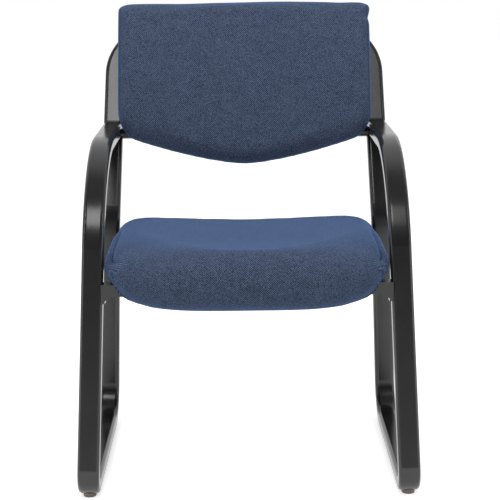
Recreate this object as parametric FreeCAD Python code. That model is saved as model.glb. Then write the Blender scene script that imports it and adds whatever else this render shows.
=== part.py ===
import FreeCAD, Part
import math
import os
from FreeCAD import Placement, Rotation, Vector

# Sled base visitor chair. Millimetres, +Z up, the sitter looks along -Y.
# The origin is on the floor under the middle of the chair.

# Overall sizes
overall_width = 622.0
overall_depth = 640.0
overall_height = 866.0

# Oval-cornered steel tube of the frame
tube_width = 40.0
tube_depth = 28.0
tube_corner = 8.0
tube_wall = 2.0

# Side frames: one bent tube a side, from the arm round the sled to the back hoop
base_depth = 495.0
side_lean = 1.75
leg_rake = 12.0
back_recline = 20.8
arm_height = 626.0
arm_bend_radius = 209.0
front_foot_bend_radius = 32.0
rear_foot_bend_radius = 68.0
recline_bend_radius = 160.0
hoop_drop = 45.0
hoop_bend_radius = 88.0
hoop_end_straight = 11.5
weld_bead_radius = 2.5

# Lower back crossbar, a round tube between the uprights
crossbar_height = 600.0
crossbar_diameter = 22.0
crossbar_wall = 1.8

# Glides pressed into the underside of the sled rails
glide_height = 4.0
glide_diameter = 24.0
glide_edge = 2.0
glide_stem_diameter = 8.0
glide_stem_length = 9.0
front_glide_inset = 38.0
rear_glide_inset = 98.0

# Seat supports: pressed channels between the legs, arched along their lower edges
seat_height = 387.0
seat_tilt = 2.5
support_thickness = 2.5
support_end_height = 35.0
support_middle_height = 22.0
support_arch_radius = 34.0
support_end_plate = 3.0
front_support_width = 30.0
rear_support_width = 44.0
rear_support_setback = 22.0

# Seat cushion, in the seat's own frame: a runs rearwards from the front support, h is up
cushion_side_clearance = 2.0
cushion_depth = 470.0
cushion_nose = 73.0
cushion_thickness = 61.0
cushion_dish = 3.5
cushion_bolster = 8.5
cushion_side_roll = 56.0
cushion_base_roll = 22.0
cushion_plan_power = 3.2
cushion_side_top = 46.0
cushion_side_base = 24.0
nose_corner_lift = 45.0
nose_lift_power = 4.8
front_corner_setback = 95.0
crest_setback = 45.0
crest_sweep = 300.0
crest_power = 2.4
nose_fullness = 2.3
lip_corner_setback = 60.0
heel_corner_setback = 30.0
rear_corner_setback = 48.0
nose_centre_height = 5.0
nose_drop = 48.0
lip_clearance = 1.0
underside_trim = 4.0
nose_lip_front = 22.0
nose_lip_rear = 20.0
rear_top_radius = 22.0
rear_bottom_radius = 8.0
cover_thickness = 1.5

# Seat board of moulded plywood, its front edge pressed down
board_thickness = 12.0
board_side_margin = 30.0
board_rear_margin = 20.0
board_corner_radius = 80.0
board_front_radius = 46.0
board_front_angle = 38.0
dust_cover_thickness = 0.8
dust_cover_margin = 40.0

# Backrest, in the hoop's own frame: v runs up the reclined plane, n points to the sitter
backrest_side_lap = 14.0
backrest_thickness = 50.0
backrest_low_height = 541.0
backrest_corner_rise = 57.0
backrest_curve_power = 1.45
low_corner_rise = 54.0
top_corner_drop = 11.0
backrest_side_roll = 34.0
backrest_front_roll = 26.0
backrest_rear_roll = 8.0
backrest_curve_radius = 1100.0
backrest_crown = 5.0
backrest_rear_edge = 16.0
insert_thickness = 9.0
insert_depth = 14.0
insert_side_margin = 26.0
insert_end_margin = 34.0
insert_corner_radius = 40.0

# Straps that carry the backrest between the hoop rail and the crossbar
strap_width = 30.0
strap_thickness = 3.0
strap_spacing = 220.0
strap_overhang = 14.0

# Fasteners
bolt_diameter = 6.0
bolt_head_diameter = 12.0
bolt_head_height = 3.6
washer_diameter = 16.0
washer_thickness = 1.6
nut_flange_diameter = 19.0
nut_flange_thickness = 1.5
nut_barrel_diameter = 8.0
seat_bolt_spacing = 300.0
back_bolt_rise = 42.0
back_bolt_drop = 52.0

# Where a cushion's side profiles stand: shares of its flat middle, then turns of its rounded side
flat_shares = (0.0, 0.3, 0.55, 0.75, 0.9, 1.0)
roll_turns = (25.0, 45.0, 62.0, 76.0, 90.0)
nose_turns = (0.0, 15.0, 35.0, 55.0, 75.0, 90.0)

# Places worked out from the sizes above
lean = math.radians(side_lean)
recline = math.radians(back_recline)
front_y = -overall_depth / 2
rear_y = overall_depth / 2
half_width = tube_width / 2
half_depth = tube_depth / 2
front_foot_outer = front_foot_bend_radius + half_depth
rail_centre_z = glide_height + half_depth
arm_centre_z = arm_height - half_depth
rear_leg_y = front_y + base_depth - half_depth
quarter_point = math.sqrt(0.5)


def half_extent(width, depth, corner, angle):
    """Half the reach of a round-cornered rectangle turned by an angle, along its width."""
    return (width / 2 - corner) * math.cos(angle) + (depth / 2 - corner) * math.sin(angle) + corner


floor_x = (overall_width / 2 + rail_centre_z * math.sin(lean)
           - half_extent(tube_width, tube_depth, tube_corner, lean))
hoop_rail_z = overall_height - hoop_drop - half_extent(tube_width, tube_depth, tube_corner, recline)
hoop_rail_y = rear_y - half_extent(tube_depth, tube_width, tube_corner, recline)
recline_z = hoop_rail_z - (hoop_rail_y - rear_leg_y) / math.tan(recline)
hoop_rail_v = (hoop_rail_z - recline_z) / math.cos(recline)
crossbar_v = (crossbar_height - recline_z) / math.cos(recline)
hoop_turn = math.acos(math.tan(lean) / math.hypot(math.tan(lean), math.tan(recline), 1.0))
hoop_rail_half = (floor_x - hoop_rail_z * math.tan(lean) - hoop_end_straight
                  - hoop_bend_radius * math.tan(hoop_turn / 2))


def leg_inner_x(z):
    """Distance from the middle plane to the inner face of a side frame at a height."""
    return (floor_x - half_width * math.cos(lean)) - z * math.tan(lean)


def leg_centre_y(z):
    """Centre line of the raked front leg at a height."""
    turn = math.radians(90.0 + leg_rake)
    corner_y = front_y + front_foot_outer - front_foot_bend_radius * math.tan(turn / 2)
    return corner_y + (z - rail_centre_z) * math.tan(math.radians(leg_rake))


def upright_y(z):
    """Centre line of the reclined upright at a height."""
    return rear_leg_y + (z - recline_z) * math.tan(recline)


support_z = seat_height - support_end_height / 2
support_y = leg_centre_y(support_z)
lip_rear_a = -front_support_width / 2 - lip_clearance
rear_support_a = rear_leg_y - support_y - rear_support_setback
cushion_rear = cushion_depth - cushion_nose
cushion_half = leg_inner_x(seat_height) - cushion_side_clearance
seat_place = Placement(Vector(0, support_y, seat_height), Rotation(Vector(1, 0, 0), -seat_tilt))
back_place = Placement(Vector(0, rear_leg_y, recline_z),
                       Rotation(Vector(1, 0, 0), 90.0 - back_recline))


def unit(vector):
    return vector / vector.Length


def arc(start, middle, end):
    return Part.Arc(start, middle, end).toShape()


def line(start, end):
    return Part.LineSegment(start, end).toShape()


def quarter(start, end, centre):
    """Arc that rounds a corner from start to end, bulging away from the corner's centre."""
    reach = (start - centre) + (end - centre)
    return arc(start, centre + reach * quarter_point, end)


def round_box_wire(width, height, corner):
    """Round-cornered rectangle about the origin in the XY plane."""
    x, y = width / 2, height / 2
    edges = []
    for turn in range(4):
        across, up = (x, y) if turn % 2 == 0 else (y, x)
        spin = Rotation(Vector(0, 0, 1), 90.0 * turn)
        points = [Vector(across, -up + corner, 0), Vector(across, up - corner, 0),
                  Vector(across - corner, up - corner, 0), Vector(across - corner, up, 0)]
        side_low, side_high, centre, next_side = [spin.multVec(point) for point in points]
        edges.append(line(side_low, side_high))
        edges.append(quarter(side_high, next_side, centre))
    return Part.Wire(edges)


def cut_box_wire(width, height, corner):
    """Rectangle about the origin in the XY plane, its corners cut off straight."""
    x, y = width / 2, height / 2
    points = [Vector(x, -y + corner, 0), Vector(x, y - corner, 0),
              Vector(x - corner, y, 0), Vector(-x + corner, y, 0)]
    half_turn = [-point for point in points]
    return Part.makePolygon(points + half_turn + points[:1])


def tube_face(origin, along, across, outline):
    """Cross-section of a tube, square to its direction at a point of its centre line."""
    face = Part.Face(outline)
    face.Placement = Placement(origin, Rotation(across, along.cross(across), along, "ZXY"))
    return face


def tube_pieces(corners, radii, across, outline):
    """Straights and bends of a tube whose centre line turns at the given corners."""
    pieces = []
    start = corners[0]
    for here, after, radius in zip(corners[1:-1], corners[2:], radii):
        along, onward = unit(here - start), unit(after - here)
        turn = along.getAngle(onward)
        setback = radius * math.tan(turn / 2)
        bend_start = here - along * setback
        axis = unit(along.cross(onward))
        straight = tube_face(start, along, across, outline)
        pieces.append(straight.extrude(bend_start - start))
        bend = tube_face(bend_start, along, across, outline)
        centre = bend_start + axis.cross(along) * radius
        pieces.append(bend.revolve(centre, axis, math.degrees(turn)))
        start = here + onward * setback
        across = Rotation(axis, math.degrees(turn)).multVec(across)
    along = unit(corners[-1] - start)
    pieces.append(tube_face(start, along, across, outline).extrude(corners[-1] - start))
    return pieces


def tube_outline():
    return round_box_wire(tube_width, tube_depth, tube_corner)


def bore_outline():
    return cut_box_wire(tube_width - 2 * tube_wall, tube_depth - 2 * tube_wall, tube_corner - tube_wall)


def side_point(y, z):
    """Point of the right side frame's leaning plane, at a height measured straight up."""
    return Vector(floor_x - z * math.tan(lean), y, z)


def side_frame_outline():
    """Outer and inner solids of the right side frame's tube."""
    arm_end = side_point(upright_y(arm_centre_z), arm_centre_z)
    arm_corner = side_point(leg_centre_y(arm_centre_z), arm_centre_z)
    front_foot = side_point(leg_centre_y(rail_centre_z), rail_centre_z)
    rear_foot = side_point(rear_leg_y, rail_centre_z)
    recline_corner = side_point(rear_leg_y, recline_z)
    hoop_corner = side_point(hoop_rail_y, hoop_rail_z)
    hoop_end = Vector(hoop_rail_half, hoop_rail_y, hoop_rail_z)
    corners = [arm_end, arm_corner, front_foot, rear_foot, recline_corner, hoop_corner, hoop_end]
    radii = [arm_bend_radius, front_foot_bend_radius, rear_foot_bend_radius,
             recline_bend_radius, hoop_bend_radius]
    across = Vector(math.cos(lean), 0, math.sin(lean))
    outer = tube_pieces(corners, radii, across, tube_outline())
    inner = tube_pieces(corners, radii, across, bore_outline())
    return outer, inner


def weld_bead(z):
    """Bead across the upright where the arm's top or bottom face meets it."""
    y = upright_y(z) - half_depth / math.cos(recline)
    across = Vector(math.cos(lean), 0, math.sin(lean))
    length = tube_width - 2 * tube_corner
    start = side_point(y, z) - across * (length / 2)
    return Part.makeCylinder(weld_bead_radius, length, start, across)


def glide_places():
    front = front_y + front_glide_inset
    rear = front_y + base_depth - rear_glide_inset
    x = floor_x - rail_centre_z * math.tan(lean)
    return {"front_right": Vector(x, front, 0), "front_left": Vector(-x, front, 0),
            "rear_right": Vector(x, rear, 0), "rear_left": Vector(-x, rear, 0)}


def glide_hole(place):
    return Part.makeCylinder(glide_stem_diameter / 2, rail_centre_z, place)


def build_side_frame(outer, inner):
    """Right side frame: hollow tube, arm welded to the upright, holes for its glides."""
    skin = outer[0].multiFuse(outer[1:] + [weld_bead(arm_height), weld_bead(arm_height - tube_depth)])
    upright = outer[8]
    hollow = inner[0].cut(upright).multiFuse(inner[1:])
    frame = skin.cut(hollow)
    places = glide_places()
    frame = frame.cut(glide_hole(places["front_right"])).cut(glide_hole(places["rear_right"]))
    return frame.Solids[0], skin.Solids[0]


def build_hoop_rail():
    """Straight tube across the top of the back, between the ends of the side frames."""
    start = Vector(-hoop_rail_half, hoop_rail_y, hoop_rail_z)
    up = Vector(0, math.sin(recline), math.cos(recline))
    along = Vector(1, 0, 0)
    outer = tube_face(start, along, up, tube_outline())
    inner = tube_face(start, along, up, bore_outline())
    reach = along * (2 * hoop_rail_half)
    return outer.extrude(reach).cut(inner.extrude(reach))


def build_crossbar(skins):
    """Round tube between the uprights, its ends shaped to their inner faces."""
    forward = half_depth - crossbar_diameter / 2
    y = upright_y(crossbar_height) - forward * math.cos(recline)
    z = crossbar_height + forward * math.sin(recline)
    reach = leg_inner_x(z) + tube_corner
    start, along = Vector(-reach, y, z), Vector(1, 0, 0)
    bar = Part.makeCylinder(crossbar_diameter / 2, 2 * reach, start, along)
    bore = Part.makeCylinder(crossbar_diameter / 2 - crossbar_wall, 2 * reach, start, along)
    return bar.cut(bore).cut(skins[0]).cut(skins[1]).Solids[0]


def build_glide(place, skin):
    """Round nylon foot with a softened rim and a stem that plugs into the rail."""
    radius, stem = glide_diameter / 2, glide_stem_diameter / 2
    top = rail_centre_z - half_depth / 2
    points = [Vector(0, 0, 0), Vector(radius - glide_edge, 0, 0), Vector(radius, 0, glide_edge),
              Vector(radius, 0, top), Vector(0, 0, top)]
    rim = arc(points[1], Vector(radius - glide_edge * (1 - quarter_point), 0,
                                glide_edge * (1 - quarter_point)), points[2])
    profile = Part.Wire([line(points[0], points[1]), rim, line(points[2], points[3]),
                         line(points[3], points[4]), line(points[4], points[0])])
    head = Part.Face(profile).revolve(Vector(0, 0, 0), Vector(0, 0, 1), 360.0)
    head.translate(place)
    head = head.cut(skin)
    head = min(head.Solids, key=lambda solid: solid.CenterOfMass.z)
    pin = Part.makeCylinder(stem, glide_height + glide_stem_length - glide_edge,
                            place + Vector(0, 0, glide_edge))
    return head.fuse(pin).removeSplitter()


def support_outline(length, end_height, middle_height, top):
    """Front view of a seat support: level top, lower edge arched up from deep ends."""
    x, rise = length / 2, end_height - middle_height
    run = math.sqrt(support_arch_radius ** 2 - (support_arch_radius - rise) ** 2)
    edges = []
    for side in (1, -1):
        low = Vector(side * (x - support_end_plate), 0, top - end_height)
        high = Vector(side * (x - support_end_plate - run), 0, top - middle_height)
        part_way = Vector(side * (x - support_end_plate - run / 2), 0, 0)
        part_way.z = top - middle_height - support_arch_radius + math.sqrt(
            support_arch_radius ** 2 - (run / 2) ** 2)
        outer_low = Vector(side * x, 0, top - end_height)
        outer_top = Vector(side * x, 0, top)
        edges.append([line(outer_top, outer_low), line(outer_low, low), arc(low, part_way, high)])
    right, left = edges
    bottom = line(right[2].Vertexes[-1].Point, left[2].Vertexes[-1].Point)
    ceiling = line(left[0].Vertexes[0].Point, right[0].Vertexes[0].Point)
    return Part.Face(Part.Wire(Part.__sortEdges__(right + [bottom] + left + [ceiling])))


def build_support(a, width, skins):
    """Channel pressed from sheet, open below, with a plate at each end against the legs."""
    z = seat_height - a * math.tan(math.radians(seat_tilt))
    length = 2 * (leg_inner_x(z) + tube_corner / 2)
    outside = support_outline(length, support_end_height, support_middle_height, 0)
    shell = outside.extrude(Vector(0, width, 0))
    depth_inside = width - 2 * support_thickness
    inside = support_outline(length, support_end_height, support_middle_height, -support_thickness)
    inside = inside.extrude(Vector(0, depth_inside, 0))
    inside.translate(Vector(0, support_thickness, 0))
    channel = shell.cut(inside)
    for side in (1, -1):
        inner_x = leg_inner_x(z) - support_end_plate
        plate = Part.makeBox(length / 2 - inner_x, width, support_end_height)
        corner_x = inner_x if side == 1 else -length / 2
        plate.translate(Vector(corner_x, 0, -support_end_height))
        channel = channel.fuse(plate)
    for x in (seat_bolt_spacing / 2, -seat_bolt_spacing / 2):
        hole = Part.makeCylinder(bolt_diameter / 2, support_thickness,
                                 Vector(x, width / 2, -support_thickness))
        channel = channel.cut(hole)
    channel.translate(Vector(0, a - width / 2, 0))
    channel.Placement = seat_place.multiply(channel.Placement)
    return channel.cut(skins[0]).cut(skins[1]).removeSplitter().Solids[0]


def full_quarter(start, end, centre):
    """Curve from start to end that bulges a little more than an ellipse about the centre."""
    out, onward = start - centre, end - centre
    sharpness = 2 / nose_fullness
    points = []
    for turn in nose_turns:
        angle = math.radians(turn)
        points.append(centre + out * max(0.0, math.cos(angle)) ** sharpness
                      + onward * math.sin(angle) ** sharpness)
    curve = Part.BSplineCurve()
    curve.interpolate(points)
    return curve.toShape()


def smooth_step(share):
    """Rises from 0 to 1 with the share, level at both ends."""
    return share ** 2 * (3.0 - 2.0 * share)


def side_roll(x, half, roll):
    """Share of the rounding at a cushion's side: none before the roll starts, one at the end."""
    into = max(0.0, abs(x) - (half - roll)) / roll
    return 1.0 - math.sqrt(max(0.0, 1.0 - into ** 2))


def seat_section(x, inset):
    """Side profile of the seat cushion at a distance from its middle plane."""
    half = cushion_half - inset
    e = abs(x) / half
    roll = side_roll(x, half, cushion_side_roll)
    base_roll = side_roll(x, half, cushion_base_roll)
    plan = 1.0 - math.sqrt(max(0.0, 1.0 - e ** cushion_plan_power))
    bolster = cushion_bolster * smooth_step(e)
    full_top = cushion_thickness + cushion_bolster
    top = cushion_thickness + bolster - (full_top - cushion_side_top) * roll - inset
    base = (cushion_side_base + underside_trim) * base_roll - underside_trim + inset
    side_height = (cushion_side_top + cushion_side_base) / 2
    lift = nose_corner_lift * e ** nose_lift_power
    low = -nose_drop + lift + (nose_drop + cushion_side_base - nose_corner_lift) * roll + inset
    mid = nose_centre_height + (side_height - nose_centre_height) * roll
    front = -cushion_nose + front_corner_setback * plan + inset
    rear = cushion_rear - rear_corner_setback * plan - inset
    crest_a = -cushion_nose + crest_setback + crest_sweep * e ** crest_power
    lip_a = -nose_lip_front + lip_corner_setback * plan
    heel_a = nose_lip_rear + heel_corner_setback * plan
    height_share = (top - base) / cushion_thickness
    top_corner, low_corner = rear_top_radius * height_share, rear_bottom_radius * height_share

    def at(a, h):
        return Vector(x, a, h)

    nose = at(front, mid)
    crest = at(crest_a, top)
    rear_top = at(rear - top_corner, top)
    rear_high = at(rear, top - top_corner)
    rear_low = at(rear, base + low_corner)
    rear_base = at(rear - low_corner, base)
    sag = at((crest.y + rear_top.y) / 2, top - cushion_dish * (rear_top.y - crest.y) / cushion_depth)
    return Part.Wire([
        quarter(at(lip_a, low), nose, at(lip_a, mid)),
        full_quarter(nose, crest, at(crest_a, mid)),
        arc(crest, sag, rear_top),
        quarter(rear_top, rear_high, at(rear - top_corner, top - top_corner)),
        line(rear_high, rear_low),
        quarter(rear_low, rear_base, at(rear - low_corner, base + low_corner)),
        line(rear_base, at(heel_a, base)),
        line(at(heel_a, base), at(lip_a, low))])


def backrest_bow(x):
    """How far the backrest's sides come forward of its middle."""
    return backrest_curve_radius - math.sqrt(backrest_curve_radius ** 2 - x ** 2)


rest_rear_n = half_depth + strap_thickness
rest_seam_n = rest_rear_n + backrest_rear_edge
rest_seam_z = recline_z + rest_seam_n * math.sin(recline)
rest_front_edge = backrest_thickness - backrest_rear_edge
rest_low_v = ((backrest_low_height + backrest_rear_edge - rest_seam_z) / math.cos(recline)
              - backrest_rear_edge)
rest_top_v = (overall_height - rest_front_edge - rest_seam_z) / math.cos(recline) + rest_front_edge
rest_half = leg_inner_x(overall_height) + backrest_side_lap
insert_low_v = rest_low_v + backrest_corner_rise + insert_end_margin
insert_high_v = rest_top_v - insert_end_margin


def back_section(x, inset):
    """Upright profile of the backrest at a distance from its middle plane."""
    half = rest_half - inset
    e = abs(x) / half
    roll = side_roll(x, half, backrest_side_roll)
    rear = rest_rear_n + backrest_bow(x) + backrest_rear_roll * roll + inset
    front = rest_rear_n + backrest_bow(x) + backrest_thickness - backrest_front_roll * roll - inset
    low = rest_low_v + backrest_corner_rise * e ** backrest_curve_power + low_corner_rise * roll + inset
    top = rest_top_v - backrest_bow(x) * math.tan(recline) - top_corner_drop * roll - inset
    rear_edge = (front - rear) * backrest_rear_edge / backrest_thickness
    front_edge = front - rear - rear_edge

    def at(v, n):
        return Vector(x, v, n)

    seam = rear + rear_edge
    front_low = at(low + front_edge, front)
    front_top = at(top - front_edge, front)
    rear_low = at(low + rear_edge, rear)
    rear_top = at(top - rear_edge, rear)
    swell = at((front_low.y + front_top.y) / 2, front + backrest_crown)
    return Part.Wire([
        arc(front_low, swell, front_top),
        quarter(front_top, at(top, seam), at(top - front_edge, seam)),
        quarter(at(top, seam), rear_top, at(top - rear_edge, seam)),
        line(rear_top, rear_low),
        quarter(rear_low, at(low, seam), at(low + rear_edge, seam)),
        quarter(at(low, seam), front_low, at(low + front_edge, seam))])


def cushion_form(section, half, roll, inset):
    """Closed cushion through its side profiles, which crowd together where the sides round off."""
    reach = half - inset
    flat = reach - roll
    places = [flat * share for share in flat_shares]
    places += [flat + roll * math.sin(math.radians(turn)) for turn in roll_turns]
    places = [-x for x in reversed(places[1:])] + places
    return Part.makeLoft([section(x, inset) for x in places], True, True)


def seat_form(inset):
    """Seat cushion, flat underneath where it lies on its supports, its lip hanging before them."""
    form = cushion_form(seat_section, cushion_half, cushion_side_roll, inset)
    under = Part.makeBox(2 * cushion_half, cushion_depth, cushion_thickness,
                         Vector(-cushion_half, lip_rear_a - inset, inset - cushion_thickness))
    return form.cut(under).Solids[0]


def seat_board_form():
    """Plywood blank: flat under the sitter, its front edge pressed down along an arc."""
    x = cushion_half - board_side_margin
    angle = math.radians(board_front_angle)
    outer = board_front_radius + board_thickness
    flat, rear = lip_rear_a - cover_thickness, cushion_rear - board_rear_margin
    low, high = cover_thickness, cover_thickness + board_thickness
    centre = Vector(-x, flat, low - board_front_radius)

    def on_bend(radius, turned):
        return centre + Vector(0, -math.sin(turned), math.cos(turned)) * radius

    profile = Part.Wire([
        line(Vector(-x, rear, low), Vector(-x, flat, low)),
        arc(Vector(-x, flat, low), on_bend(board_front_radius, angle / 2),
            on_bend(board_front_radius, angle)),
        line(on_bend(board_front_radius, angle), on_bend(outer, angle)),
        arc(on_bend(outer, angle), on_bend(outer, angle / 2), Vector(-x, flat, high)),
        line(Vector(-x, flat, high), Vector(-x, rear, high)),
        line(Vector(-x, rear, high), Vector(-x, rear, low))])
    blank = Part.Face(profile).extrude(Vector(2 * x, 0, 0))
    front = flat - outer * math.sin(angle)
    plan = Part.Face(round_box_wire(2 * x, rear - front, board_corner_radius))
    prism = plan.extrude(Vector(0, 0, 2 * cushion_thickness))
    prism.translate(Vector(0, (front + rear) / 2, -cushion_thickness))
    return blank.common(prism)


def back_insert_form():
    """Plywood insert of the backrest, bowed like it, with rounded corners."""
    x = rest_half - insert_side_margin
    near = rest_rear_n + insert_depth
    far = near + insert_thickness
    height = insert_high_v - insert_low_v

    def bowed(across, depth):
        return Vector(across, 0, depth + backrest_bow(across))

    end = rest_half
    outline = Part.Wire([
        arc(bowed(-end, near), bowed(0, near), bowed(end, near)),
        line(bowed(end, near), bowed(end, far)),
        arc(bowed(end, far), bowed(0, far), bowed(-end, far)),
        line(bowed(-end, far), bowed(-end, near))])
    blank = Part.Face(outline).extrude(Vector(0, height + 2 * insert_thickness, 0))
    blank.translate(Vector(0, insert_low_v - insert_thickness, 0))
    plan = Part.Face(round_box_wire(2 * x, height, insert_corner_radius))
    prism = plan.extrude(Vector(0, 0, bowed(end, far).z + backrest_thickness))
    prism.translate(Vector(0, insert_low_v + height / 2, 0))
    return blank.common(prism)


def bolt(length):
    """Pan-head bolt pointing along +Z, its bearing face at the origin."""
    shank = Part.makeCylinder(bolt_diameter / 2, length)
    head = Part.makeCylinder(bolt_head_diameter / 2, bolt_head_height, Vector(0, 0, -bolt_head_height))
    head = head.makeFillet(bolt_head_height / 2, [head.Edges[2]])
    return shank.fuse(head).removeSplitter()


def ring(outer, inner, height):
    return Part.makeCylinder(outer / 2, height).cut(Part.makeCylinder(inner / 2, height))


def tee_nut(barrel):
    """Flanged nut, its flange on top and its barrel down through the board."""
    flange = Part.makeCylinder(nut_flange_diameter / 2, nut_flange_thickness)
    body = Part.makeCylinder(nut_barrel_diameter / 2, barrel, Vector(0, 0, -barrel))
    return flange.fuse(body).cut(Part.makeCylinder(bolt_diameter / 2, barrel + nut_flange_thickness,
                                                   Vector(0, 0, -barrel)))


def seat_bolt_places():
    return [Vector(side * seat_bolt_spacing / 2, a, 0)
            for a in (0.0, rear_support_a) for side in (1, -1)]


def back_bolt_places():
    return [Vector(side * strap_spacing / 2, v, 0)
            for v in (insert_low_v + back_bolt_rise, hoop_rail_v - back_bolt_drop) for side in (1, -1)]


def moved(shape, place):
    copy = shape.copy()
    copy.translate(place)
    return copy


def build_seat():
    """Seat cushion parts in the seat's own frame."""
    outside = seat_form(0.0)
    inside = seat_form(cover_thickness)
    window = Part.Face(round_box_wire(2 * (cushion_half - dust_cover_margin),
                                      cushion_rear - dust_cover_margin, board_corner_radius))
    window = window.extrude(Vector(0, 0, cover_thickness))
    window.translate(Vector(0, cushion_rear / 2 + nose_lip_rear / 2, 0))
    places = seat_bolt_places()
    holes = [moved(Part.makeCylinder(nut_barrel_diameter / 2, board_thickness + 2 * cover_thickness),
                   place) for place in places]
    board = seat_board_form()
    nut_z = cover_thickness + board_thickness
    pockets = [moved(Part.makeCylinder(nut_flange_diameter / 2, nut_flange_thickness),
                     place + Vector(0, 0, nut_z)) for place in places]
    dust_slab = Part.makeBox(2 * cushion_half, cushion_depth, dust_cover_thickness,
                             Vector(-cushion_half, 0, 0))
    bolt_length = support_thickness + cover_thickness + board_thickness
    return {
        "seat_cover": outside.cut(inside).cut([window] + holes),
        "seat_foam": inside.cut(board).cut(pockets + holes),
        "seat_board": board.cut(holes),
        "seat_dust_cover": window.common(dust_slab).cut(holes),
        "seat_tee_nuts": Part.makeCompound([moved(tee_nut(board_thickness), place + Vector(0, 0, nut_z))
                                            for place in places]),
        "seat_bolts": Part.makeCompound([moved(bolt(bolt_length + washer_thickness), place - Vector(
            0, 0, support_thickness + washer_thickness)) for place in places]),
        "seat_washers": Part.makeCompound([moved(ring(washer_diameter, bolt_diameter, washer_thickness),
                                                 place - Vector(0, 0, support_thickness
                                                                + washer_thickness))
                                           for place in places]),
    }


def build_back():
    """Backrest parts and their straps in the hoop's own frame."""
    outside = cushion_form(back_section, rest_half, backrest_side_roll, 0.0)
    inside = cushion_form(back_section, rest_half, backrest_side_roll, cover_thickness)
    insert = back_insert_form()
    places = back_bolt_places()
    x = strap_spacing / 2
    insert_front = rest_rear_n + backrest_bow(x) + insert_depth + insert_thickness
    holes = [moved(Part.makeCylinder(nut_barrel_diameter / 2, insert_front), place) for place in places]
    pockets = [moved(Part.makeCylinder(nut_flange_diameter / 2, nut_flange_thickness),
                     place + Vector(0, 0, insert_front)) for place in places]
    strap_low, strap_high = crossbar_v - strap_overhang, hoop_rail_v + strap_overhang
    bolt_holes = [moved(Part.makeCylinder(bolt_diameter / 2, rest_rear_n), place) for place in places]
    straps = {}
    for name, side in (("right", 1), ("left", -1)):
        strap = Part.makeBox(strap_width, strap_high - strap_low, strap_thickness,
                             Vector(side * x - strap_width / 2, strap_low, half_depth))
        straps["back_strap_" + name] = strap.cut(bolt_holes)
    spacer_height = backrest_bow(x)
    start = half_depth - washer_thickness
    parts = {
        "backrest_cover": outside.cut(inside).cut(holes),
        "backrest_foam": inside.cut([insert] + holes + pockets),
        "backrest_insert": insert.cut(holes + pockets),
        "back_tee_nuts": Part.makeCompound([
            moved(tee_nut(insert_thickness), place + Vector(0, 0, insert_front)) for place in places]),
        "back_bolts": Part.makeCompound([
            moved(bolt(insert_front - start), place + Vector(0, 0, start)) for place in places]),
        "back_washers": Part.makeCompound([
            moved(ring(washer_diameter, bolt_diameter, washer_thickness), place + Vector(0, 0, start))
            for place in places]),
        "back_spacers": Part.makeCompound([
            moved(ring(washer_diameter, bolt_diameter, spacer_height),
                  place + Vector(0, 0, rest_rear_n)).cut(outside) for place in places]),
    }
    parts.update(straps)
    return parts


def main():
    outer, inner = side_frame_outline()
    right, right_skin = build_side_frame(outer, inner)
    middle, across = Vector(0, 0, 0), Vector(1, 0, 0)
    left, left_skin = right.mirror(middle, across), right_skin.mirror(middle, across)
    skins = (right_skin, left_skin)
    nodes = {
        "right_side_frame": right,
        "left_side_frame": left,
        "hoop_rail": build_hoop_rail(),
        "lower_back_crossbar": build_crossbar(skins),
        "front_seat_support": build_support(0.0, front_support_width, skins),
        "rear_seat_support": build_support(rear_support_a, rear_support_width, skins),
    }
    for name, place in glide_places().items():
        nodes["glide_" + name] = build_glide(place, right_skin if place.x > 0 else left_skin)
    for placement, group in ((seat_place, build_seat()), (back_place, build_back())):
        for name, shape in group.items():
            shape.Placement = placement.multiply(shape.Placement)
            nodes[name] = shape

    os.makedirs("parts", exist_ok=True)
    for name, shape in nodes.items():
        shape.exportStep(os.path.join("parts", name + ".step"))
    return nodes


if __name__ == "__main__":
    main()
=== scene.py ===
import math

import bpy
import numpy as np
from bpy.props import FloatProperty, FloatVectorProperty, IntProperty, PointerProperty
from mathutils import Matrix, Vector


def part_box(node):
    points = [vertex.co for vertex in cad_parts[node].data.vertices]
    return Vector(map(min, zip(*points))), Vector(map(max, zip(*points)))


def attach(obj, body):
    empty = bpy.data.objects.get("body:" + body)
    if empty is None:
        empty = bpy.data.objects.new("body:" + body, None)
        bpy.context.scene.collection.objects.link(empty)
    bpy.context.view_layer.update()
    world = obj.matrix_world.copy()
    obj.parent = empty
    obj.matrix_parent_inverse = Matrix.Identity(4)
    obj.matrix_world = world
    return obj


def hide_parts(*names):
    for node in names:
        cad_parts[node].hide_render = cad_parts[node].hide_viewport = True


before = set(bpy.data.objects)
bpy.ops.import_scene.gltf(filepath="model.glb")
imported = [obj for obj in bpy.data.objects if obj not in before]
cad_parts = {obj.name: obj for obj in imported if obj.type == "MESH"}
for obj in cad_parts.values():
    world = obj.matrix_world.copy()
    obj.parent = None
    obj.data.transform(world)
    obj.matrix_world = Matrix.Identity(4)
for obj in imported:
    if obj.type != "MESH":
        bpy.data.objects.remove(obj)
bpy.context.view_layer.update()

bl_info = {
    "name": "Sled Base Visitor Chair",
    "version": (1, 0, 0),
    "blender": (4, 5, 0),
    "location": "View3D > Sidebar > Chair",
    "description": "Dresses a tubular visitor chair with fabric cushions, coated tubes and a studio",
    "category": "Add Mesh",
}

# The chair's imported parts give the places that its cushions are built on
SEAT_LOW, SEAT_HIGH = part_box("seat_cover")
BACK_LOW, BACK_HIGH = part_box("backrest_cover")
SUPPORT_LOW, SUPPORT_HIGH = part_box("front_seat_support")
STRAP_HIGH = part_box("back_strap_right")[1]
DUST_LOW, DUST_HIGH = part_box("seat_dust_cover")

# Seat shape in metres. Places run rearwards from the front support, heights up from its top.
# Power of the curve that rounds the seat's corners, seen from above
PLAN_POWER = 3.2
# Heights of the side's upper and lower edge, and the width over which the underside rises to it
SIDE_TOP = 0.046
SIDE_BASE = 0.024
BASE_ROLL = 0.022
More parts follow.
